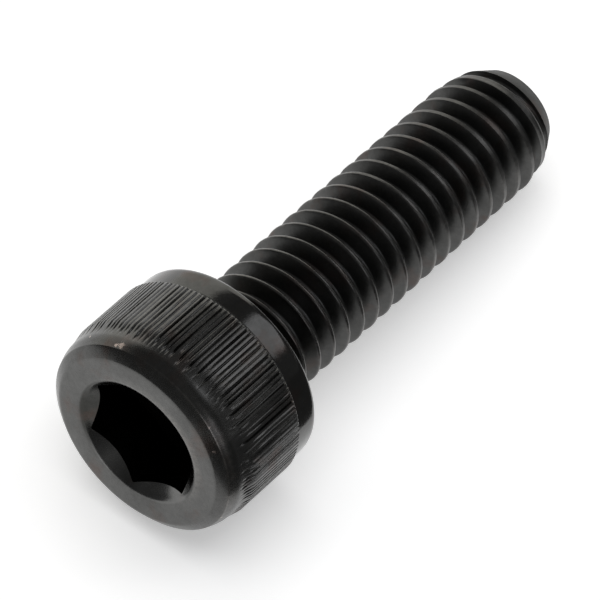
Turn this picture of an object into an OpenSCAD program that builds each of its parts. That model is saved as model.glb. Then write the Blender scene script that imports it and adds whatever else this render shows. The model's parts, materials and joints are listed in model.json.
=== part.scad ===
// Hex socket cap screw, M6 by 20, fully threaded, black alloy steel, in millimetres.
// The screw is one forged and rolled piece. It is drawn along its own axis, with the bearing
// face under the head at zero, the head below it and the thread above it. The last module
// lays it down as it comes to rest, on the rim of its head and the end of its thread.

/* [Head] */
// Diameter over the crests of the knurl
head_d = 10; // [9.8:0.05:10.2]
// Height of the head, from its socket face to its bearing face
head_h = 6; // [5.7:0.05:6.2]
// Diameter of the flat socket face
face_d = 8.45; // [8:0.05:8.8]
// Diameter of the crease where the flat chamfer meets the rounded shoulder
crease_d = 9.4; // [9.1:0.05:9.5]
// Height of the flat chamfer between the socket face and the crease
crease_h = 0.36; // [0.2:0.02:0.5]
// Diameter of the smooth blank, which shows as a collar at the bearing face
blank_d = 9.72; // [9.6:0.02:9.76]
// Diameter of the flat bearing face
bearing_d = 9.38; // [9:0.02:9.5]
// Height of the rounded edge between the collar and the bearing face
bearing_edge_h = 0.34; // [0.2:0.02:0.5]

/* [Knurl] */
// Number of ribs round the head
rib_count = 68; // [40:1:90]
// Depth of the main grooves below the crests
groove_depth = 0.26; // [0.2:0.02:0.34]
// Share of a rib's pitch that its main groove takes; the fine groove takes half as much
groove_share = 0.34; // [0.2:0.02:0.5]
// Depth of the fine groove down the middle of each rib
fine_depth = 0.1; // [0.04:0.02:0.16]
// Distance from the socket face to the start of the knurl
knurl_start = 1; // [0.8:0.05:1.4]
// Width of the smooth collar between the knurl and the bearing face
collar_w = 1.18; // [0.8:0.02:1.6]

/* [Socket] */
// Width across the flats of the hexagon
hex_af = 5.02; // [4.9:0.02:5.14]
// Depth of the hexagon's flats at their middle, from the socket face
hex_depth = 3; // [2.4:0.05:3.4]
// Height of the cone that the punch leaves below the flats
hex_cone_h = 0.66; // [0.3:0.02:0.9]
// Diameter of the shallow cone at the mouth
mouth_d = 6.25; // [6:0.05:6.6]
// Included angle of the cone at the mouth
mouth_angle = 150; // [130:1:160]

/* [Thread] */
// Length from the bearing face to the end
length = 20; // [10:1:30]
// Diameter over the thread's crests
thread_d = 5.9; // [5.8:0.02:5.98]
// Pitch of the thread
pitch = 1; // [0.75:0.05:1.25]
// Length over which the thread fades into the neck
runout_len = 1.3; // [0.8:0.1:2]
// Radius of the fillet between the neck and the bearing face
fillet_r = 0.36; // [0.3:0.01:0.45]
// Diameter of the flat end
end_d = 4.3; // [4:0.05:4.6]
// Slope of the end's chamfer, from the axis
end_angle = 45; // [35:1:60]

/* [Rest] */
// Turn of the hexagon about the screw's axis, from the line that faces down
hex_turn = 4.5; // [0:0.5:59.5]
// Turn of the knurl about the screw's axis
knurl_turn = 0.9; // [0:0.1:5.2]
// Turn of the thread: the angle at which its crest would reach the bearing face
thread_turn = 24; // [0:1:359]

/* [Hidden] */

// Steps of the thread round one turn, and facets of the round surfaces
turn_steps = 32;
round_steps = 120;
// Steps of the rounded shoulder and of the fillet
arc_steps = 5;
// Overlap that fuses one form into the next, and reach of a cut past a face
overlap = 0.3;

// Radii of the head
head_r = head_d / 2;
blank_r = blank_d / 2;
groove_r = head_r - groove_depth;
// Radius of the core that carries the knurl, and how far it lies below the grooves
core_drop = 0.1;
core_r = groove_r - core_drop;
// Length over which the blank falls to its core at the shoulder
core_fall = 0.22;
// Lengths over which the ribs rise at the shoulder and fall at the collar
knurl_rise = 0.54;
knurl_fall = 0.27;
// Places on the axis where the ribs rise from the core, and where they end
knurl_low = -head_h + knurl_start - core_fall / 2;
knurl_high = -collar_w + core_fall / 4;

// Metric thread: flanks at 30 degrees, crests an eighth of the pitch wide, rounded roots
flank_angle = 30;
crest_w = pitch / 8;
flank_depth = 0.565 * pitch;
full_depth = 0.613 * pitch;
flank_w = flank_depth * tan(flank_angle);
root_w = pitch - crest_w - 2 * flank_w;
crest_r = thread_d / 2;
// One pitch of the thread as pairs of height and depth below the crest
thread_profile = [
    [0, flank_depth],
    [flank_w, 0],
    [flank_w + crest_w, 0],
    [2 * flank_w + crest_w, flank_depth],
    [2 * flank_w + crest_w + root_w / 2, full_depth]
];
// Radius of the rolled blank, which shows as a short plain neck, and its depth below the crests
neck_depth = 0.3 * pitch;
neck_r = crest_r - neck_depth;
// Length of thread that is buried in the head, and the angle at which it starts there
thread_sink = pitch + overlap;
thread_start = thread_turn - 360 * (thread_sink - flank_w - crest_w / 2) / pitch;
// Angle of the fillet's arc, short of a full quarter so that it ends clear of the neck
fillet_arc = 75;
// Length of the chamfer at the end
end_chamfer = (crest_r - end_d / 2) / tan(end_angle);

// Places on the axis where the head's ribs and the thread's last full crest meet the ground
head_foot = knurl_high - knurl_fall;
thread_foot = length - end_chamfer;
// Slope of the axis when the screw lies on its head and its thread
rest_slope = atan((head_r - crest_r) / (thread_foot - head_foot));

// Outline of the head before its knurl, from the middle of the socket face to the neck
function shoulder_points() = [
    for (i = [1 : arc_steps])
        let (t = i / arc_steps)
        [crease_d / 2 + (blank_r - crease_d / 2) * sin(90 * t),
         -head_h + crease_h + (knurl_start - crease_h) * t]
];
function bearing_edge_points() = [
    for (i = [0 : arc_steps])
        let (a = 90 * i / arc_steps)
        [bearing_d / 2 + (blank_r - bearing_d / 2) * cos(a),
         -bearing_edge_h + bearing_edge_h * sin(a)]
];
function fillet_points() = [
    for (i = [0 : arc_steps])
        let (a = fillet_arc * i / arc_steps)
        [neck_r + fillet_r * (1 - sin(a)),
         fillet_r * (1 - cos(a))]
];

module head_blank() {
    rotate_extrude($fn = round_steps)
        polygon(concat(
            [[0, -head_h], [face_d / 2, -head_h], [crease_d / 2, -head_h + crease_h]],
            shoulder_points(),
            [[core_r, -head_h + knurl_start + core_fall],
             [core_r, -collar_w - core_fall / 2],
             [blank_r, -collar_w]],
            bearing_edge_points(),
            fillet_points(),
            [[neck_r - overlap, fillet_r], [0, fillet_r]]
        ));
}

// Angle and radius of a rib's corners, as shares of one pitch of the knurl
function rib_corners() = [
    [0, groove_r],
    [groove_share / 2, head_r],
    [0.5 - groove_share / 4, head_r],
    [0.5, head_r - fine_depth],
    [0.5 + groove_share / 4, head_r],
    [1 - groove_share / 2, head_r]
];

module knurl_band() {
    rib_angle = 360 / rib_count;
    // The ramps at both ends go on past the ribs' crests at the same slope
    rim_r = head_r + overlap;
    past = (rim_r - core_r) / (head_r - core_r);
    intersection() {
        translate([0, 0, knurl_low - overlap])
            rotate([0, 0, knurl_turn])
                linear_extrude(height = knurl_high - knurl_low + 2 * overlap)
                    polygon([
                        for (k = [0 : rib_count - 1], c = rib_corners())
                            let (a = (k + c[0]) * rib_angle)
                            [c[1] * cos(a), c[1] * sin(a)]
                    ]);
        rotate_extrude($fn = round_steps)
            polygon([
                [0, knurl_low],
                [core_r, knurl_low],
                [rim_r, knurl_low + knurl_rise * past],
                [rim_r, knurl_high - knurl_fall * past],
                [core_r, knurl_high],
                [0, knurl_high]
            ]);
    }
}

// The hexagon ends in the shallow cone of its punch, so its flats are deepest at their middle
module hex_socket() {
    top = -head_h - overlap;
    bottom = -head_h + hex_depth + hex_cone_h;
    punch_r = hex_af / 2 / cos(30) + overlap;
    punch_slope = hex_cone_h / (hex_af / 2);
    mouth_slope = tan(mouth_angle / 2);
    intersection() {
        translate([0, 0, top])
            rotate([0, 0, hex_turn])
                cylinder(h = bottom - top, d = hex_af / cos(30), $fn = 6);
        rotate_extrude($fn = round_steps)
            polygon([
                [0, top - overlap],
                [punch_r, top - overlap],
                [punch_r, bottom - punch_r * punch_slope],
                [0, bottom]
            ]);
    }
    translate([0, 0, top])
        cylinder(
            h = mouth_d / 2 / mouth_slope + overlap,
            r1 = mouth_d / 2 + overlap * mouth_slope,
            r2 = 0,
            $fn = round_steps
        );
}

// Share of the thread's full form at a height above the bearing face
function thread_rise(z) = min(1, max(0, (z - fillet_r) / runout_len));

// The thread as one closed surface, wound from inside the head to past the end
module thread_form() {
    steps = turn_steps * ceil((length + thread_sink) / pitch + 1);
    m = len(thread_profile);
    points = [
        for (i = [0 : steps], p = thread_profile)
            let (a = thread_start + 360 * i / turn_steps)
            let (z = -thread_sink + pitch * i / turn_steps + p[0])
            let (r = neck_r + (crest_r - p[1] - neck_r) * thread_rise(z))
            [r * cos(a), r * sin(a), z]
    ];
    start_point = len(points);
    end_point = start_point + 1;
    start_z = -thread_sink + pitch / 2;
    ends = [[0, 0, start_z], [0, 0, start_z + pitch * steps / turn_steps]];
    // The strip between two profile points, and the strip that joins one turn to the next
    side_faces = [
        for (i = [0 : steps - 1], j = [0 : m - 1])
            let (a = i * m + j)
            let (b = j < m - 1 ? a + 1 : (i + turn_steps) * m)
            if (j < m - 1 || i < steps - turn_steps)
                each [[a, b, a + m], [b, b + m, a + m]]
    ];
    start_faces = concat(
        [for (i = [0 : turn_steps - 1]) [start_point, i * m, (i + 1) * m]],
        [[start_point, turn_steps * m, m - 1]],
        [for (j = [m - 1 : -1 : 1]) [start_point, j, j - 1]]
    );
    last = steps * m;
    end_faces = concat(
        [for (i = [steps - turn_steps : steps - 1])
            [end_point, (i + 1) * m + m - 1, i * m + m - 1]],
        [[end_point, last - turn_steps * m + m - 1, last]],
        [for (j = [0 : m - 2]) [end_point, last + j, last + j + 1]]
    );
    polyhedron(points = concat(points, ends), faces = concat(side_faces, start_faces, end_faces));
}

// The end's flat face and chamfer, which trim the thread
module end_envelope() {
    reach = crest_r + overlap;
    chamfer_start = length - (reach - end_d / 2) / tan(end_angle);
    rotate_extrude($fn = round_steps)
        polygon([
            [0, -2 * thread_sink],
            [reach, -2 * thread_sink],
            [reach, chamfer_start],
            [end_d / 2, length],
            [0, length]
        ]);
}

module screw() {
    difference() {
        union() {
            head_blank();
            knurl_band();
        }
        hex_socket();
    }
    intersection() {
        thread_form();
        end_envelope();
    }
}

module cap_screw() {
    color("#2b2b2a")
        rotate([0, 90 + rest_slope, 0])
            screw();
}

cap_screw();
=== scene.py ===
# %% [markdown]
# A black hex socket cap screw, 6 mm thick and 20 mm long under its head.
# The real one is a single piece: cold-forged head, punched socket, rolled knurl and rolled thread.
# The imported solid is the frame. It fixes the size and the place, and this file gives the looks.

import json
import math

import bpy
import numpy as np
from mathutils import Matrix, Vector


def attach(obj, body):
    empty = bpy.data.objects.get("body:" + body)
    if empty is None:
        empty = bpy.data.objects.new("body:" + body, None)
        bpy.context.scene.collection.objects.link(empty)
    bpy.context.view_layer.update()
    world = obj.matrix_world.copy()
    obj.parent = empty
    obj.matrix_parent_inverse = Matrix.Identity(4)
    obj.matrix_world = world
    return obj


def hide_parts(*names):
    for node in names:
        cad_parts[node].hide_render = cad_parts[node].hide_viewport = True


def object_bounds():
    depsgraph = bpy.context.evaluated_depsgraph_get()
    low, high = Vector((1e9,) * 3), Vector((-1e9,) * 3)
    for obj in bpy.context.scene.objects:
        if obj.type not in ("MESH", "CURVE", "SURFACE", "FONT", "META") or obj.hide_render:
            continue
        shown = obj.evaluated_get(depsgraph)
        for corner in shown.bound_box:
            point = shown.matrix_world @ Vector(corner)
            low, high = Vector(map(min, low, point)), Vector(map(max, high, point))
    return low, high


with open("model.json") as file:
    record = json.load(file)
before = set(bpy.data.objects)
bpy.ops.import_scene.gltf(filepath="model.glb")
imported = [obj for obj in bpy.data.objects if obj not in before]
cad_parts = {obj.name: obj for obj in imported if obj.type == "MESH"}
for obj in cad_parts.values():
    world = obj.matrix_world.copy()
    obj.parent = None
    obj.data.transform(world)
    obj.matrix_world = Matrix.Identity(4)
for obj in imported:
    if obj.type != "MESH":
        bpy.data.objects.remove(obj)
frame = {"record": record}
cad_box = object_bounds()
MM = 0.001
print("CAD box in mm:", [[round(v / MM, 2) for v in corner] for corner in cad_box])

# %% [markdown]
# The screw lies on its head and its thread, so its axis slopes a little.
# The record's mounts say where that axis runs, how high the head is and how long the screw is.
# All shapes are made upright on the world's Z axis first, in millimetres, because operators that
# work round an axis are simple there. The bearing face under the head is at zero then, with the
# head below it and the thread above. Angles are in degrees round the axis, from the line that
# faces the floor in the end. One step near the end lays the finished screw down.

# %% Places from the record
mounts = {mount["name"]: mount for mount in frame["record"]["mounts"]}
axis = Vector(mounts["thread"]["axis"]).normalized()
slope = math.atan2(-axis.z, axis.x)
head_h = -Vector(mounts["socket_face"]["pos_m"]).dot(axis) / MM
length = Vector(mounts["end_face"]["pos_m"]).dot(axis) / MM
lay_down = Matrix.Rotation(math.pi / 2 + slope, 4, "Y")
print(f"axis slopes {math.degrees(slope):.2f} degrees, head {head_h:.2f} mm, length {length:.2f} mm")

# %% [markdown]
# A few helpers do the handwork. Everything is deselected before a piece is added, because an
# operator acts on all that is selected. Points and edges are then selected by where they are.
# The last three move many points at once with numpy, for work that no single operator can do.

# %% Modelling helpers
def alone(piece):
    """Selects one piece and nothing else."""
    bpy.ops.object.select_all(action="DESELECT")
    piece.select_set(True)
    bpy.context.view_layer.objects.active = piece


def select_parts(piece, parts, kind, test):
    """Selects, in edit mode, the points or edges of a piece that pass the test."""
    bpy.ops.mesh.select_mode(type=kind)
    bpy.ops.mesh.select_all(action="DESELECT")
    bpy.ops.object.mode_set(mode="OBJECT")
    for part in getattr(piece.data, parts):
        part.select = test(part)
    bpy.ops.object.mode_set(mode="EDIT")


def close_to_point():
    """Closes the selected ring with a fan of faces round one point."""
    bpy.ops.mesh.extrude_region_move()
    bpy.ops.mesh.merge(type="CENTER")


def combine(piece, other, operation):
    """Adds, cuts or trims a piece by another closed body, and deletes that body."""
    alone(piece)
    joint = piece.modifiers.new("combine", "BOOLEAN")
    joint.operation = operation
    joint.solver = "MANIFOLD"
    joint.object = other
    bpy.ops.object.modifier_apply(modifier=joint.name)
    bpy.data.objects.remove(other)


def read_points(piece):
    """All points of a piece, with their radius and their angle in degrees round the Z axis."""
    points = np.zeros(len(piece.data.vertices) * 3)
    piece.data.vertices.foreach_get("co", points)
    points = points.reshape(-1, 3)
    x, y = points[:, 0], points[:, 1]
    return points, np.hypot(x, y), np.degrees(np.arctan2(y, x))


def set_radius(piece, points, radius, wanted):
    """Moves the points of a piece straight in or out from the Z axis to the wanted radius."""
    least_r = 1e-6
    points[:, :2] *= (wanted / np.maximum(radius, least_r))[:, None]
    piece.data.vertices.foreach_set("co", points.ravel())
    piece.data.update()


def smooth_step(x):
    """0 below zero, 1 above one, and an S-curve between them."""
    x = np.clip(x, 0, 1)
    return x * x * (3 - 2 * x)

# %% [markdown]
# Most of a screw is round, as if it came from a lathe. The first helper turns an outline into a
# closed body the way a Blender user would by hand: a circle is extruded along the axis and scaled,
# ring by ring, and both ends are closed to a point. The others give stations of an outline: a
# rounded edge as a quarter of an ellipse, and a worn one as listed steps from its corner.

# %% Turning an outline
def turned(name, outline, steps):
    """A closed body turned on the Z axis from height and radius pairs."""
    bpy.ops.object.select_all(action="DESELECT")
    first_z, first_r = outline[0]
    bpy.ops.mesh.primitive_circle_add(vertices=steps, radius=first_r)
    piece = bpy.context.object
    piece.name = name
    bpy.ops.object.mode_set(mode="EDIT")
    bpy.ops.mesh.select_all(action="SELECT")
    bpy.ops.transform.translate(value=(0, 0, first_z))
    z, r = first_z, first_r
    for next_z, next_r in outline[1:]:
        bpy.ops.mesh.extrude_region_move(TRANSFORM_OT_translate={"value": (0, 0, next_z - z)})
        k = next_r / r
        bpy.ops.transform.resize(value=(k, k, 1), center_override=(0, 0, 0))
        z, r = next_z, next_r
    close_to_point()
    tiny = 1e-4
    select_parts(piece, "vertices", "VERT",
                 lambda v: abs(v.co.z - first_z) < tiny and abs(v.co.xy.length - first_r) < tiny)
    close_to_point()
    bpy.ops.mesh.select_all(action="SELECT")
    bpy.ops.mesh.normals_make_consistent(inside=False)
    bpy.ops.object.mode_set(mode="OBJECT")
    return piece


def quarter(z_from, r_from, z_to, r_to, count, bulge):
    """Quarter-ellipse stations. A bulge out leaves the first one along Z, a bulge in radially."""
    stations = []
    for i in range(1, count + 1):
        a = math.pi / 2 * i / count
        ahead, behind = math.sin(a), 1 - math.cos(a)
        along, across = (ahead, behind) if bulge == "out" else (behind, ahead)
        stations.append((z_from + (z_to - z_from) * along, r_from + (r_to - r_from) * across))
    return stations


def edge(corner_z, corner_r, steps):
    """Stations of a worn edge, as steps in height and radius from its corner."""
    return [(corner_z + along, corner_r + across) for along, across in steps]

# %% [markdown]
# The head was forged from bar, so everything but its socket and its knurl is round. These are its
# radii and heights. They are those of the solid, but for the mouth of the socket, where the punch
# has left a rounded edge and a steeper cone. The ring has eighteen points for each rib of the
# knurl, so that the ribs can be pressed in later.

# %% Sizes of the head
rib_count = 68
steps_per_rib = 18
head_steps = rib_count * steps_per_rib
face_z = -head_h
# The cone of the mouth goes on to a core inside the hexagon, which the punch cuts away
core_r = 2.4
cone_middle_r = 2.75
mouth_r = 3.2
mouth_slope = math.tan(math.radians(47))
face_middle_r = 3.6
face_r = 4.22
crease_r, crease_z = 4.70, face_z + 0.36
blank_r = 4.86
rib_r = 5.0
knurl_z0, knurl_z1 = face_z + 1.0, -1.18
collar_middle_z = -0.75
bearing_r, bearing_h = 4.69, 0.34
neck_r = 2.65
fillet_r = 0.36
print(f"head: {2 * rib_r} mm wide, collar {2 * blank_r} mm, socket mouth {2 * mouth_r} mm")

# %% [markdown]
# The outline runs from the cone at the socket's mouth over the face, the flat chamfer and its
# crease, the shoulder, the knurled band, the collar and the bearing face to the neck, and ends
# inside the thread. No edge is quite sharp on a forged and worn part, so each one is rounded by
# steps from its corner. The shoulder is a quarter sine, and two edges are quarter ellipses.

# %% Turn the head
mouth_steps = [(0.2, -0.285), (0.10, -0.21), (0.045, -0.13), (0.012, -0.04), (0, 0.06)]
face_steps = [(0, -0.12), (0.012, -0.02), (0.05, 0.06)]
crease_steps = [(-0.12, -0.16), (-0.03, -0.04), (0, -0.012), (0.03, 0), (0.07, 0.012)]
knurl_start_steps = [(0.16, 0.02), (0.34, 0.05), (0.52, 0.09)]
knurl_end_steps = [(-0.15, 0.125), (-0.11, 0.08), (-0.08, 0.035), (-0.04, 0.04), (0, 0)]
rib_start, rib_end, rib_rings = knurl_z0 + 0.74, knurl_z1 - 0.20, 6
shoulder_steps, bearing_steps, fillet_steps = 4, 4, 5
bearing_flat = 0.03
# The outline ends this far past the fillet and inside the neck, where the thread hides it
thread_sink, thread_cover = 0.05, 0.35

mouth_edge = edge(face_z, mouth_r, mouth_steps)
cone_z, cone_r = mouth_edge[0]
outline = [(cone_z + (cone_r - r) / mouth_slope, r) for r in (core_r, cone_middle_r)]
outline += mouth_edge
outline += [(face_z, face_middle_r)]
outline += edge(face_z, face_r, face_steps)
outline += edge(crease_z, crease_r, crease_steps)
shoulder_z, shoulder_r = outline[-1]
for i in range(1, shoulder_steps + 1):
    lift = math.sin(math.pi / 2 / shoulder_steps * i)
    outline.append((shoulder_z + (knurl_z0 - shoulder_z) * i / shoulder_steps,
                    shoulder_r + (blank_r - shoulder_r) * lift))
outline += edge(knurl_z0, blank_r, knurl_start_steps)
outline += [(rib_start + (rib_end - rib_start) * i / rib_rings, rib_r) for i in range(rib_rings + 1)]
outline += edge(knurl_z1, blank_r, knurl_end_steps)
outline += [(collar_middle_z, blank_r), (-bearing_h, blank_r)]
outline += quarter(-bearing_h, blank_r, 0, bearing_r, bearing_steps, "out")
outline += [(0, bearing_r - bearing_flat), (0, neck_r + fillet_r)]
outline += quarter(0, neck_r + fillet_r, fillet_r, neck_r, fillet_steps, "in")
outline += [(fillet_r + thread_sink, neck_r - thread_cover)]
head = turned("cap_screw_finish", outline, head_steps)
print("head:", len(head.data.vertices), "points in", len(outline), "rings")

# %% [markdown]
# The knurl was rolled by a wheel: one groove for each rib, and a finer one down its middle. No two
# are quite alike, they wander in depth, and they start raggedly at the shoulder. An array would
# repeat one rib exactly, so the points of the band are pressed in code instead, each groove with
# its own place, width, depth and start from a seeded draw. Places and widths are in degrees here.

# %% Roll the knurl
draw = np.random.default_rng(6)
knurl_turn = 0.9
groove_stray = 0.13
groove_power = 1.8
# Ranges of half width, depth and start of a groove
main_groove = ((0.6, 0.85), (0.08, 0.115), (-0.06, 0.2))
fine_groove = ((0.48, 0.68), (0.045, 0.085), (0.0, 0.5))
fine_place = (0.45, 0.55)
groove_rise, groove_fall, groove_stop = 0.6, 0.07, 0.08
wander_share, wander_per_mm, wander_round = 0.15, 2.1, 9
rib_angle = 360 / rib_count
step_angle = 360 / head_steps
station_angle = np.arange(head_steps) * step_angle
groove_at = np.zeros(head_steps)
start_at = np.zeros(head_steps)


def press_groove(centre, half_width, depth, start):
    """Presses one groove into the ring, where none deeper is there yet."""
    off = np.abs((station_angle - centre + 180) % 360 - 180) / half_width
    pressed = depth * np.clip(1 - off ** groove_power, 0, 1)
    deeper = pressed > groove_at
    groove_at[deeper] = pressed[deeper]
    start_at[deeper] = start


for rib in range(rib_count):
    centre = knurl_turn + rib_angle * rib + draw.normal(0, groove_stray)
    press_groove(centre, *[draw.uniform(low, high) for low, high in main_groove])
    fine_centre = centre + rib_angle * draw.uniform(*fine_place)
    press_groove(fine_centre, *[draw.uniform(low, high) for low, high in fine_groove])

points, radius, angle = read_points(head)
z = points[:, 2]
station = np.round(angle / step_angle).astype(int) % head_steps
rise = smooth_step((z - knurl_z0 - start_at[station]) / groove_rise)
fall = np.clip((knurl_z1 - groove_stop - z) / groove_fall, 0, 1)
wave = np.sin(z * wander_per_mm + np.radians(station_angle[station]) * wander_round)
sunk = groove_at[station] * rise * fall * (1 + wander_share * wave)
below_blank = 0.02
sunk[radius < blank_r - below_blank] = 0
set_radius(head, points, radius, radius - sunk)
print(f"knurl: {2 * rib_count} grooves, deepest {sunk.max():.2f} mm")

# %% [markdown]
# The socket was punched with a hexagonal punch whose end is a shallow cone. The punch is made
# as its own body, a six-sided bar with slightly worn corners, trimmed by a turned cone, and cut
# out of the head. Where it meets the cone of the mouth it leaves the scallops of such a socket.

# %% Punch the socket
hex_af = 5.02
hex_depth = 3.0
hex_cone_h = 0.66
hex_turn = math.radians(4.5)
corner_r = hex_af / 2 / math.cos(math.radians(30))
corner_wear, corner_segments = 0.06, 2
cone_rise = hex_cone_h / (hex_af / 2)
overlap = 0.5
cone_tip_z = face_z + hex_depth + hex_cone_h
bar_low, bar_high = face_z - overlap, cone_tip_z + overlap
cone_outer_r, cone_tip_r, cone_steps = 4.0, 0.4, 64
bpy.ops.object.select_all(action="DESELECT")
bpy.ops.mesh.primitive_cylinder_add(
    vertices=6, radius=corner_r, depth=bar_high - bar_low,
    location=(0, 0, (bar_low + bar_high) / 2), rotation=(0, 0, hex_turn - math.radians(30))
)
punch = bpy.context.object
bpy.ops.object.transform_apply(location=True, rotation=True, scale=False)
bpy.ops.object.mode_set(mode="EDIT")
# The bar's long edges are those whose ends are more than a millimetre apart in height
bar_points = punch.data.vertices
select_parts(punch, "edges", "EDGE",
             lambda e: abs(bar_points[e.vertices[0]].co.z - bar_points[e.vertices[1]].co.z) > 1)
bpy.ops.mesh.bevel(offset=corner_wear, segments=corner_segments)
bpy.ops.mesh.select_mode(type="VERT")
bpy.ops.object.mode_set(mode="OBJECT")
punch_cone = turned(
    "punch_cone",
    [(bar_low - 1, cone_outer_r), (cone_tip_z - cone_outer_r * cone_rise, cone_outer_r),
     (cone_tip_z - cone_tip_r * cone_rise, cone_tip_r)],
    cone_steps,
)
combine(punch, punch_cone, "INTERSECT")
combine(head, punch, "DIFFERENCE")
print("socket:", hex_af, "mm across flats,", hex_depth, "mm deep")

# %% [markdown]
# The thread was rolled: the bar's metal flowed up into crests with small rounded edges and
# round roots. Metric flanks lean 30 degrees from square to the axis, and the crest is an eighth
# of the pitch wide. A soft maximum rounds both corners by a formula. The points lie closest where
# the outline bends.

# %% Outline of one pitch
pitch = 1.0
crest_r = 2.95
full_depth = 0.613
crest_w = pitch / 8
flank_slope = math.tan(math.radians(60))
crest_round = 0.04
root_round = 0.06


def soft_max(x, rounding):
    """The larger of x and zero, with a rounded corner between them."""
    return (x + math.sqrt(x * x + rounding * rounding)) / 2


def thread_depth(u):
    """Depth below the crest at a distance u along the axis from the crest's middle."""
    depth = soft_max(flank_slope * (abs(u) - crest_w / 2), crest_round)
    return full_depth - soft_max(full_depth - depth, root_round)


half_shares = [0.5, 0.47, 0.44, 0.42, 0.40, 0.37, 0.27, 0.17, 0.12, 0.09, 0.07, 0.045]
shares = [-u for u in half_shares] + [0.0] + half_shares[::-1]
thread_points = [Vector((crest_r - thread_depth(u * pitch), 0, u * pitch)) for u in shares]
print("thread outline:", len(thread_points), "points for one pitch")

# %% [markdown]
# The outline is drawn by extruding a single point from station to station, and wound by a Screw
# modifier. It starts under the bearing face and goes on past the end, so both ends are hidden
# by what joins or trims them. The turns are then merged into one skin.

# %% Wind the thread
thread_turn = 24
turn_steps = 64
turns = 22
start_z = -1.2
merge_distance = 0.002
bpy.ops.object.select_all(action="DESELECT")
bpy.ops.mesh.primitive_plane_add(size=1)
thread = bpy.context.object
thread.name = "thread"
bpy.ops.object.mode_set(mode="EDIT")
bpy.ops.mesh.select_all(action="SELECT")
bpy.ops.mesh.merge(type="CENTER")
bpy.ops.transform.translate(value=thread_points[0])
for last, place in zip(thread_points, thread_points[1:]):
    bpy.ops.mesh.extrude_region_move(TRANSFORM_OT_translate={"value": place - last})
bpy.ops.object.mode_set(mode="OBJECT")
wind = thread.modifiers.new("wind", "SCREW")
wind.axis = "Z"
wind.angle = math.tau
wind.screw_offset = pitch
wind.iterations = turns
wind.steps = turn_steps
wind.render_steps = turn_steps
bpy.ops.object.modifier_apply(modifier=wind.name)
turn_to = math.radians(thread_turn) + math.tau * start_z / pitch
thread.data.transform(Matrix.Translation((0, 0, start_z)) @ Matrix.Rotation(turn_to, 4, "Z"))
bpy.ops.object.mode_set(mode="EDIT")
bpy.ops.mesh.select_all(action="SELECT")
bpy.ops.mesh.remove_doubles(threshold=merge_distance)
bpy.ops.object.mode_set(mode="OBJECT")
print("thread:", len(thread.data.vertices), "points in", turns, "turns")

# %% [markdown]
# Booleans need closed bodies. Each end of the winding is one open rim, and the rims are told
# apart by whether they lie below or above the middle of the screw. Each is closed to a point.

# %% Close the thread's ends
bpy.ops.object.mode_set(mode="EDIT")
for low_end in (True, False):
    bpy.ops.mesh.select_mode(type="EDGE")
    bpy.ops.mesh.select_all(action="DESELECT")
    bpy.ops.mesh.select_non_manifold(
        extend=False, use_wire=False, use_boundary=True,
        use_multi_face=False, use_non_contiguous=False, use_verts=False
    )
    bpy.ops.object.mode_set(mode="OBJECT")
    for rim in thread.data.edges:
        if rim.select:
            middle = sum(thread.data.vertices[v].co.z for v in rim.vertices) / 2
            rim.select = (middle < length / 2) == low_end
    bpy.ops.object.mode_set(mode="EDIT")
    close_to_point()
bpy.ops.mesh.select_mode(type="VERT")
bpy.ops.mesh.select_all(action="SELECT")
bpy.ops.mesh.normals_make_consistent(inside=False)
bpy.ops.object.mode_set(mode="OBJECT")
print("thread: closed with", len(thread.data.polygons), "faces")

# %% [markdown]
# Under the head the thread runs out into the plain neck, as the rolling dies leave it, and near
# the tip its last crests were never filled. So points are drawn in towards the neck at one end,
# and cut down at the other. Handling has also nicked the crests a little all along. The nicks
# come from a seeded row of heights that is laid along the winding, so they follow the helix.

# %% Fade the thread in, cut down its tip and nick its crests
runout_len = 1.3
tip_start, tip_fall, tip_drop = 17.2, 1.8, 0.28
taper_start, taper_len, taper_drop = 6, 10, 0.06
nick_spacing, nick_depth = 5.0, 0.018
nick_reach, nick_soft = 0.12, 0.06
nick_start, nick_fade = 1.5, 2
# Points nearer the axis than this only close the ends
closing_r = 1


def from_crest(z, angle):
    """Distance along the axis from the nearest crest's middle, in pitches."""
    return (z / pitch - (angle - thread_turn) / 360 + 0.5) % 1 - 0.5


def along_winding(z, angle):
    """Degrees wound from the start of the helix to the nearest crest."""
    return 360 * (z - from_crest(z, angle) * pitch) / pitch


points, radius, angle = read_points(thread)
z = points[:, 2]
full = np.clip((z - fillet_r) / runout_len, 0, 1)
wanted = np.where(radius > closing_r, neck_r + (radius - neck_r) * full, radius)
wanted = np.minimum(wanted, crest_r - tip_drop * smooth_step((z - tip_start) / tip_fall))
winding = along_winding(z, angle)
knots = np.arange(winding.min(), winding.max() + nick_spacing, nick_spacing)
nick_heights = draw.random(len(knots)) ** 2
nick = np.interp(winding, knots, nick_heights)
on_crest = smooth_step((nick_reach - np.abs(from_crest(z, angle))) / nick_soft)
on_crest = on_crest * smooth_step((z - nick_start) / nick_fade)
wanted -= nick_depth * nick * on_crest * (radius > closing_r)
wanted = np.minimum(wanted, crest_r - taper_drop * np.clip((z - taper_start) / taper_len, 0, 1))
set_radius(thread, points, radius, wanted)
print(f"nicks: {len(knots)} heights, up to {nick_depth} mm deep")

# %% [markdown]
# The far end is trimmed by a turned body with the end's chamfer, which also cuts off the closed
# end of the winding. Then head and thread become one skin, as the real screw is one piece.

# %% Trim the end and join head and thread
end_r = 2.05
end_round = 0.05
end_slope = math.tan(math.radians(30))
trim_r, trim_low_z, trim_middle_r, trim_steps = 3.4, -3, 1.0, 160
trim = turned(
    "trim",
    [(trim_low_z, trim_r), (length - (trim_r - end_r) / end_slope, trim_r),
     (length - end_round, end_r + end_round * end_slope), (length, end_r - end_round),
     (length, trim_middle_r)],
    trim_steps,
)
combine(thread, trim, "INTERSECT")
combine(head, thread, "UNION")
print("screw:", len(head.data.vertices), "points,", len(head.data.polygons), "faces")
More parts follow.
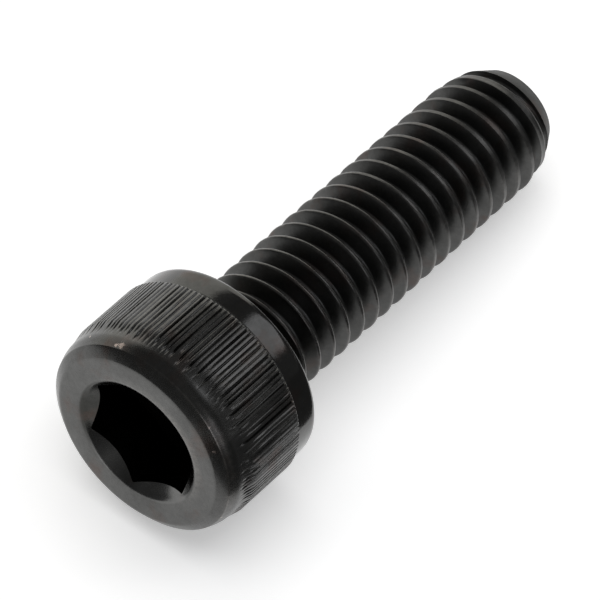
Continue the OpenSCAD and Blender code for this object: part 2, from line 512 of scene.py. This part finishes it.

# %% [markdown]
# The finish isn't the same all over. The oxide is worn and paler on crests and edges, and darkest
# in grooves where oil stays. Some edges of the head also get painted highlights, and the socket's
# mouth gets painted reflection and shade. Three values are stored on every point while the screw is
# still upright: how pale the oxide is, how much pale steel shows from wear and from painted
# highlights, and how rough it is. Zones are masks over all points, and wear and painted highlights
# are laid on by a helper that keeps the stronger of two.

# %% Zones of the finish
points, radius, angle = read_points(head)
z = points[:, 2]
plain_pale, plain_rough = 0.5, 0.28
flat, mouth_overlap = 0.02, 0.08
pale = np.full(len(z), plain_pale)
worn = np.zeros(len(z))
rough = np.full(len(z), plain_rough)
on_thread = z > flat
outside = (z <= flat) & (radius > mouth_r - mouth_overlap)
in_socket = ~on_thread & ~outside


def near(value, target, reach):
    """1 at the target, and down to 0 at the reach on either side."""
    return np.clip(1 - np.abs(value - target) / reach, 0, 1)


def near_angle(target, reach):
    """The same round the screw's axis."""
    return np.clip(1 - np.abs((angle - target + 180) % 360 - 180) / reach, 0, 1)


def lay_wear_and_highlight(zone, share, side=None):
    """Lays pale steel on a zone, as wear or as a painted highlight, all round or near one side of the
    screw, where nothing stronger is laid yet.
    """
    weight = zone if side is None else zone * near_angle(*side)
    np.maximum(worn, share * weight, out=worn)


print("finish:", on_thread.sum(), "points on the thread,", outside.sum(), "outside on the head")

# %% [markdown]
# The socket holds oil, so it is dark. Its mouth has painted reflection and shade: the cone is
# painted paler on some sides and darker on others, by the angle round the axis. On the face's rim,
# the crease and the strip outside it, paler lines are laid on one side only, where light catches
# them: they are painted highlights, partly also wear.

# %% Finish of the socket and the face
socket_pale, face_pale = 0.12, 0.58
mouth_rough, head_rough = 0.22, 0.26
mouth_depth = 0.62
mouth_shade_angles = [-60, -5, 8, 35, 58, 68, 120, 150, 185, 200, 285, 300]
mouth_shade_tones = [0.68, 0.7, 0.5, 0.85, 0.45, 0.34, 0.25, 0.16, 0.08, 0.0, 0.0, 0.6]
rim_half_w = 0.06
crease_middle, crease_half_w = crease_z + 0.01, 0.05
strip_middle, strip_half_w = crease_z + 0.2, 0.2
# Most pale steel laid on, as painted highlight and wear, and where: the middle of the lit side and
# its reach, in degrees
rim_highlight, rim_lit_side = 0.35, (225, 85)
crease_highlight, crease_lit_side = 0.8, (245, 75)
strip_sheen, strip_lit_side = 0.35, (250, 70)

pale[in_socket] = socket_pale
in_mouth = in_socket & (radius > core_r) & (z < face_z + mouth_depth)
# Painted reflection and shade on the mouth's cone: its tone is set by the angle round the axis.
pale[in_mouth] = np.interp((angle + 60) % 360 - 60, mouth_shade_angles, mouth_shade_tones)[in_mouth]
rough[in_mouth] = mouth_rough
on_face = z < face_z + flat
pale[outside & on_face] = face_pale
rough[outside] = head_rough
on_rim = on_face & ~on_thread & (np.abs(radius - mouth_r) < rim_half_w)
# Painted highlights, partly also wear: paler lines on the rim, the crease and the strip, laid on one
# side only, where light catches them.
lay_wear_and_highlight(on_rim, rim_highlight, rim_lit_side)
lay_wear_and_highlight(outside * near(z, crease_middle, crease_half_w), crease_highlight, crease_lit_side)
lay_wear_and_highlight(outside * near(z, strip_middle, strip_half_w), strip_sheen, strip_lit_side)
print("mouth:", in_mouth.sum(), "points")

# %% [markdown]
# The knurl's crests are paler than its grooves, which hold oil. A groove shows as points that lie
# below the outline that the head was turned to. The collar is the smooth blank: it is the
# glossiest part, and its edge at the bearing face is slightly rubbed.

# %% Finish of the knurl and the collar
crest_pale, groove_darker, groove_full = 0.64, 0.2, 0.06
rib_worn, rib_worn_start, rib_worn_rise = 0.08, 0.5, 0.3
knurl_stop = 0.05
collar_rough = 0.11
bearing_worn, bearing_reach_z, bearing_reach_r = 0.15, 0.06, 0.08

profile = np.array([p for p in outline if p[1] > mouth_r and p[0] < 0])
profile_r = np.interp(z, profile[:, 0], profile[:, 1])
in_knurl = outside & (z > knurl_z0) & (z < knurl_z1 - knurl_stop)
groove = np.clip((profile_r - radius) / groove_full, 0, 1)
pale[in_knurl] = (crest_pale - groove_darker * groove)[in_knurl]
risen = smooth_step((z - knurl_z0 - rib_worn_start) / rib_worn_rise)
lay_wear_and_highlight(in_knurl * (1 - groove) * risen, rib_worn)
rough[outside & (z >= knurl_z1 - flat)] = collar_rough
lay_wear_and_highlight(outside * near(z, 0, bearing_reach_z) * near(radius, bearing_r, bearing_reach_r), bearing_worn)
print("knurl:", in_knurl.sum(), "points")

# %% [markdown]
# On the thread only the crests are rubbed, in a line that grows wider and duller towards the tip
# and comes and goes along the winding, with the nicks. The chamfer of the end is dark and dull.
# Distances from a crest are in pitches, and heights in millimetres.

# %% Finish of the thread
thread_pale, root_paler, crest_paler = 0.5, 0.02, 0.04
end_darker, end_pale, end_flat = 0.22, 0.45, 0.01
tip_from, tip_len = 5, 13
crest_half_w, crest_growth, crest_soft = 0.055, 0.04, 0.05
crest_from, crest_fade = 0.6, 1.2
root_from, root_soft = 0.40, 0.06
chamfer_rim, chamfer_soft, chamfer_inner = 0.07, 0.05, 0.1
crest_worn, crest_worn_less, least_scuff = 0.17, 0.07, 0.5
thread_rough, crest_smoother, tip_rougher, end_rougher = 0.34, 0.06, 0.12, 0.2

off_crest = np.abs(from_crest(z, angle))
tip_share = np.clip((z - tip_from) / tip_len, 0, 1)
crest = smooth_step((crest_half_w + crest_growth * tip_share + crest_soft - off_crest) / crest_soft)
crest = crest * smooth_step((z - crest_from) / crest_fade)
root = smooth_step((off_crest - root_from) / root_soft)
past_chamfer = (radius - end_r) / end_slope + z - length + chamfer_rim
chamfered = smooth_step(past_chamfer / chamfer_soft) * (radius > end_r - chamfer_inner)
tone = thread_pale + root_paler * root + crest_paler * crest - end_darker * chamfered
tone = np.where(z > length - end_flat, end_pale, tone)
pale[on_thread] = tone[on_thread]
scuffed = least_scuff + np.interp(along_winding(z, angle), knots, nick_heights)
crest_line = crest * (crest_worn - crest_worn_less * tip_share) * scuffed * (1 - chamfered)
worn[on_thread] = crest_line[on_thread]
dull = thread_rough - crest * (crest_smoother - tip_rougher * tip_share) + end_rougher * chamfered
rough[on_thread] = dull[on_thread]

for name, values in (("pale", pale), ("worn", worn), ("rough", rough)):
    layer = head.data.attributes.new(name, "FLOAT", "POINT")
    layer.data.foreach_set("value", values.astype(np.float32))
print("finish: mean pale", round(float(pale.mean()), 2), "mean worn", round(float(worn.mean()), 2))

# %% [markdown]
# Now the screw is laid on the floor by turning its mesh, so that the object itself stays unturned
# at the origin. Faces that meet at more than 42 degrees keep a crisp edge, and the rest is smooth.

# %% Lay the screw down
crisp_angle = math.radians(42)
alone(head)
head.data.transform(lay_down @ Matrix.Scale(MM, 4))
bpy.ops.object.shade_smooth_by_angle(angle=crisp_angle)
head.data.update()
triangles = sum(len(face.vertices) - 2 for face in head.data.polygons)
print("laid down,", triangles, "triangles")

# %% [markdown]
# Materials are small networks of nodes. Colours are written as sRGB hex values, as a paint
# program shows them, and one function turns them into the linear values that Blender uses.

# %% Material helpers
def linear(hex_colour):
    """An sRGB hex colour as the linear values that Blender's sockets take."""
    values = [int(hex_colour[i:i + 2], 16) / 255 for i in (1, 3, 5)]
    return tuple(v / 12.92 if v <= 0.04045 else ((v + 0.055) / 1.055) ** 2.4 for v in values) + (1,)


def add(tree, kind, settings, inputs):
    """Adds one node. Each input is a plain value, or the socket of another node that feeds it."""
    node = tree.nodes.new(kind)
    for key, value in settings.items():
        setattr(node, key, value)
    for key, value in inputs.items():
        if isinstance(value, bpy.types.NodeSocket):
            tree.links.new(value, node.inputs[key])
        else:
            node.inputs[key].default_value = value
    return node


def new_material(name):
    """A material with an empty network, and that network."""
    material = bpy.data.materials.new(name)
    material.use_nodes = True
    material.node_tree.nodes.clear()
    return material, material.node_tree

# %% [markdown]
# Black oxide is a thin layer of magnetite that a hot salt bath grows on steel, finished with oil.
# It gives a dark metal sheen: almost black where the room is dark, grey where it faces something
# white. Its patterns are drawn in the screw's own millimetres, so the place of each point is
# turned back upright first. Clouds of a millimetre and stains are as wide as real ones. The
# crystals are too fine to show, so the grain is drawn as coarse as it needs to be seen.

# %% Patterns of the black oxide
# Width of the marks in millimetres, detail and roughness of each pattern
patterns = {
    "cloud": (1.11, 4, 0.6),
    "mottle": (0.222, 4, 0.65),
    "grain": (0.0625, 3, 0.7),
    "stain": (1.43, 3, 0.55),
    "chip edge": (0.0714, 2, 0.6),
}
black_oxide, tree = new_material("black oxide on alloy steel")
place = add(tree, "ShaderNodeTexCoord", {}, {})
own = add(tree, "ShaderNodeMapping", {"vector_type": "POINT"},
          {"Vector": place.outputs["Object"], "Rotation": lay_down.inverted().to_euler(),
           "Scale": (1 / MM, 1 / MM, 1 / MM)})
pattern = {}
for name, (width, detail, roughness) in patterns.items():
    noise = add(tree, "ShaderNodeTexNoise", {},
                {"Vector": own.outputs["Vector"], "Scale": 1 / width, "Detail": detail,
                 "Roughness": roughness})
    pattern[name] = noise.outputs["Fac"]
print("patterns:", ", ".join(f"{name} {values[0]} mm" for name, values in patterns.items()))

# %% [markdown]
# Noise lies mostly near the middle of its range. So a stretch of each pattern is spread over the
# range that its use needs, such as a share of stain from none to a third. The three values of
# the finish are read back from the points.

# %% Uses of the patterns
# Pattern, lowest and highest value of the stretch that is used, and what these two become
uses = {
    "clouded": ("cloud", 0.3, 0.7, -0.05, 0.05),
    "mottled": ("mottle", 0.35, 0.65, -0.03, 0.03),
    "stained": ("stain", 0.55, 0.72, 0.0, 0.3),
    "worn through": ("mottle", 0.36, 0.62, 0.35, 1.0),
    "ragged": ("chip edge", 0.3, 0.7, 0.4, 1.5),
    "unevenly rough": ("grain", 0.3, 0.7, -0.04, 0.05),
}
used = {}
for name, (source, low, high, to_low, to_high) in uses.items():
    stretch = add(tree, "ShaderNodeMapRange", {},
                  {"Value": pattern[source], "From Min": low, "From Max": high,
                   "To Min": to_low, "To Max": to_high})
    used[name] = stretch.outputs["Result"]
stored = {}
for name in ("pale", "worn", "rough"):
    finish = add(tree, "ShaderNodeAttribute", {"attribute_name": name}, {})
    stored[name] = finish.outputs["Fac"]
print("uses:", ", ".join(used), "and the stored", ", ".join(stored))

# %% [markdown]
# A ramp turns the stored paleness into a tone of grey, from that of an oily groove to that of a
# dry, handled face. Clouds and mottling shift the place on the ramp, so no face is quite even.

# %% Tones of the black oxide
oxide_tones = [
    (0.0, "#0e0e0d"), (0.14, "#272724"), (0.3, "#3c3c3a"),
    (0.5, "#50504f"), (0.75, "#6a6a69"), (1.0, "#8a8a89"),
]
uneven = add(tree, "ShaderNodeMath", {"operation": "ADD"}, {0: used["clouded"], 1: used["mottled"]})
on_ramp = add(tree, "ShaderNodeMath", {"operation": "ADD"}, {0: stored["pale"], 1: uneven.outputs[0]})
tone = add(tree, "ShaderNodeValToRGB", {}, {"Fac": on_ramp.outputs[0]})
ramp = tone.color_ramp
for element, (position, colour) in zip(ramp.elements, (oxide_tones[0], oxide_tones[-1])):
    element.position = position
    element.color = linear(colour)
for position, colour in oxide_tones[1:-1]:
    ramp.elements.new(position).color = linear(colour)
print("black oxide:", len(ramp.elements), "tones")

# %% [markdown]
# A few chips and dings show bare or pale metal: on the chamfer, the crease and the shoulder of the
# head, and one on the thread. Each is a spot at its own place on the screw. Its distance is
# multiplied by a pattern before it is compared with the chip's size, which makes it ragged.

# %% Chips and dings
# Height, radius, angle and size of each chip
chips = [
    (-5.46, 4.76, 161.5, 0.13), (-5.50, 4.74, 158.5, 0.08), (-5.17, 4.83, 136, 0.05),
    (-5.59, 4.72, 292, 0.06), (-5.64, 4.70, 226.5, 0.05), (-5.80, 4.48, 240, 0.07),
    (5.28, 2.90, 236, 0.04),
]
chip_share, chip_core = 0.8, 0.7
chipped = 0.0
for height, r, degrees, size in chips:
    centre = (r * math.cos(math.radians(degrees)), r * math.sin(math.radians(degrees)), height)
    away = add(tree, "ShaderNodeVectorMath", {"operation": "DISTANCE"},
               {0: own.outputs["Vector"], 1: centre})
    torn = add(tree, "ShaderNodeMath", {"operation": "MULTIPLY"},
               {0: away.outputs["Value"], 1: used["ragged"]})
    spot = add(tree, "ShaderNodeMapRange", {},
               {"Value": torn.outputs[0], "From Min": size * chip_core, "From Max": size,
                "To Min": chip_share, "To Max": 0.0})
    most = add(tree, "ShaderNodeMath", {"operation": "MAXIMUM"},
               {0: chipped, 1: spot.outputs["Result"]})
    chipped = most.outputs[0]
print("chips:", len(chips))

# %% [markdown]
# The skin is a dark metal, with the default IOR. Over the oxide's tone lie rusty stains, then the
# greyer steel where it is worn off and where highlights are painted on the head's edges, and last
# the chips. The grain varies the roughness and raises tiny bumps that break up reflections. The
# finished skin then takes the solid's place.

# %% Skin of the screw
rust_brown, wear_and_highlight_steel, bare_metal = "#5a4238", "#98948f", "#b8aaa3"
bump_strength, bump_distance, mottle_bump = 0.1, 0.02 * MM, 0.6
# Places of the colour sockets on a Mix node
SHARE, BELOW, ABOVE, RESULT = 0, 6, 7, 2
wear_and_highlight_share = add(tree, "ShaderNodeMath", {"operation": "MULTIPLY"},
             {0: stored["worn"], 1: used["worn through"]})
skin_colour = tone.outputs["Color"]
for colour, share in ((rust_brown, used["stained"]), (wear_and_highlight_steel, wear_and_highlight_share.outputs[0]),
                      (bare_metal, chipped)):
    laid_over = add(tree, "ShaderNodeMix", {"data_type": "RGBA"},
                    {SHARE: share, BELOW: skin_colour, ABOVE: linear(colour)})
    skin_colour = laid_over.outputs[RESULT]
roughness = add(tree, "ShaderNodeMath", {"operation": "ADD"},
                {0: stored["rough"], 1: used["unevenly rough"]})
lumps = add(tree, "ShaderNodeMath", {"operation": "MULTIPLY"}, {0: pattern["mottle"], 1: mottle_bump})
relief = add(tree, "ShaderNodeMath", {"operation": "ADD"}, {0: pattern["grain"], 1: lumps.outputs[0]})
bump = add(tree, "ShaderNodeBump", {},
           {"Height": relief.outputs[0], "Strength": bump_strength, "Distance": bump_distance})
skin = add(tree, "ShaderNodeBsdfPrincipled", {},
           {"Base Color": skin_colour, "Metallic": 1.0, "Roughness": roughness.outputs[0],
            "Normal": bump.outputs["Normal"]})
add(tree, "ShaderNodeOutputMaterial", {}, {"Surface": skin.outputs["BSDF"]})
head.data.materials.clear()
head.data.materials.append(black_oxide)
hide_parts("cap_screw")
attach(head, "root")
print("material:", black_oxide.name, "on", head.name)

# %% [markdown]
# The screw lies on a white paper floor. The paper is a matt white, lifted a little for the camera
# and for mirrors, so that it looks white and still keeps the screw's soft shadow.

# %% Floor
floor_size, paper_lift = 6, 0.4
floor_z = cad_box[0][2]
bpy.ops.object.select_all(action="DESELECT")
bpy.ops.mesh.primitive_plane_add(size=floor_size, location=(0, 0, floor_z))
floor = bpy.context.object
floor.name = "floor"
paper, tree = new_material("white paper")
ray = add(tree, "ShaderNodeLightPath", {}, {})
seen = 0.0
for kind in ("Is Camera Ray", "Is Glossy Ray", "Is Transmission Ray"):
    either = add(tree, "ShaderNodeMath", {"operation": "MAXIMUM"}, {0: seen, 1: ray.outputs[kind]})
    seen = either.outputs[0]
lift = add(tree, "ShaderNodeMath", {"operation": "MULTIPLY"}, {0: seen, 1: paper_lift})
glow = add(tree, "ShaderNodeEmission", {}, {"Strength": lift.outputs[0]})
matt = add(tree, "ShaderNodeBsdfDiffuse", {}, {"Color": linear("#f0f0f0")})
both = add(tree, "ShaderNodeAddShader", {}, {0: matt.outputs[0], 1: glow.outputs[0]})
add(tree, "ShaderNodeOutputMaterial", {}, {"Surface": both.outputs[0]})
floor.data.materials.append(paper)
print("floor at", round(floor_z / MM, 2), "mm")

# %% [markdown]
# Metal shows little of its own colour, so what it mirrors is its look. The studio is a white sweep
# behind the screw, a softbox to its right, a slightly fainter window nearer the camera, and a dim
# grey room. One more lamp overhead lights the paper, and mirrors don't show it.

# %% Lamps and world
def direction(azimuth, elevation):
    """The direction from the screw to a place round it, from its angles in degrees."""
    a, e = math.radians(azimuth), math.radians(elevation)
    return Vector((math.cos(e) * math.cos(a), math.cos(e) * math.sin(a), math.sin(e)))


def lamp(name, azimuth, elevation, distance, width, height, radiance, colour, mirrored=True):
    """A soft rectangular lamp that faces the screw, with the brightness that metal mirrors."""
    light = bpy.data.lights.new(name, "AREA")
    light.shape = "RECTANGLE"
    light.size, light.size_y = width, height
    light.energy = radiance * math.pi * width * height
    light.color = linear(colour)[:3]
    item = bpy.data.objects.new(name, light)
    bpy.context.scene.collection.objects.link(item)
    item.location = direction(azimuth, elevation) * distance
    item.rotation_euler = direction(azimuth, elevation).to_track_quat("Z", "Y").to_euler()
    item.visible_glossy = mirrored


# Azimuth and elevation in degrees, distance, width and height in metres, brightness and colour
lamp("softbox", -33, 38, 0.8, 0.42, 0.42, 1.0, "#fafbff")
lamp("window", -108, 20, 0.8, 0.42, 0.42, 0.85, "#f6f8ff")
lamp("sweep", 48, 20, 1.0, 1.6, 0.75, 1.0, "#fffdf6")
lamp("floor_light", 0, 88, 1.2, 1.2, 1.2, 2.2, "#ffffff", mirrored=False)

world = bpy.data.worlds.new("studio")
bpy.context.scene.world = world
world.use_nodes = True
tree = world.node_tree
tree.nodes.clear()
room = add(tree, "ShaderNodeBackground", {}, {"Color": linear("#626262"), "Strength": 1.0})
add(tree, "ShaderNodeOutputWorld", {}, {"Surface": room.outputs[0]})
print("lamps:", len(bpy.data.lights))

# %% [markdown]
# A dark grey card lies along the near side of the screw, like a photographer's black card, to give
# its metal dark edges against the white background. It is painted shade: it stands for the shaded
# floor beside the screw as the metal mirrors it, and its grey glow is painted light from no lamp.
# Only mirrors see it, so it throws no shadow and isn't in the picture.

# %% Card of painted shade
card_y, card_top = -8.5 * MM, 3 * MM
card_ends = (-25 * MM, 45 * MM)
bpy.ops.object.select_all(action="DESELECT")
bpy.ops.mesh.primitive_plane_add(size=1, location=(0, 0, 0), rotation=(math.pi / 2, 0, 0))
card = bpy.context.object
card.name = "black_card"
card.scale = (card_ends[1] - card_ends[0], card_top - floor_z, 1)
card.location = (sum(card_ends) / 2, card_y, (card_top + floor_z) / 2)
bpy.ops.object.transform_apply(location=True, rotation=True, scale=True)
black_card, tree = new_material("black card")
# Painted shade: the card glows a dark grey, as the shaded floor beside the screw would look in the
# metal.
painted_shade = add(tree, "ShaderNodeEmission", {}, {"Color": linear("#565656"), "Strength": 1.0})
add(tree, "ShaderNodeOutputMaterial", {}, {"Surface": painted_shade.outputs[0]})
card.data.materials.append(black_card)
card.visible_camera = False
card.visible_diffuse = False
card.visible_transmission = False
card.visible_volume_scatter = False
card.visible_shadow = False
print("card:", round((card_top - floor_z) / MM, 1), "mm high")

# %% [markdown]
# The photograph was taken from above with a very long lens. The place and the lens come from
# fitting a camera to the socket face, the collar, the thread and the end of the screw.

# %% Camera
camera_mm = (-126.74, -106.13, 216.79)
looks_down, looks_along, camera_roll = 52.122, 38.753, 0.088
camera_data = bpy.data.cameras.new("camera")
camera_data.lens = 386.75
camera_data.sensor_width = 36
camera_data.clip_start = 0.01
camera = bpy.data.objects.new("camera", camera_data)
bpy.context.scene.collection.objects.link(camera)
camera.location = Vector(camera_mm) * MM
camera.rotation_euler = [math.radians(a) for a in (90 - looks_down, camera_roll, looks_along - 90)]
bpy.context.scene.camera = camera
bpy.context.scene.view_settings.view_transform = "Standard"
print("camera:", round(camera.location.length / MM), "mm away")
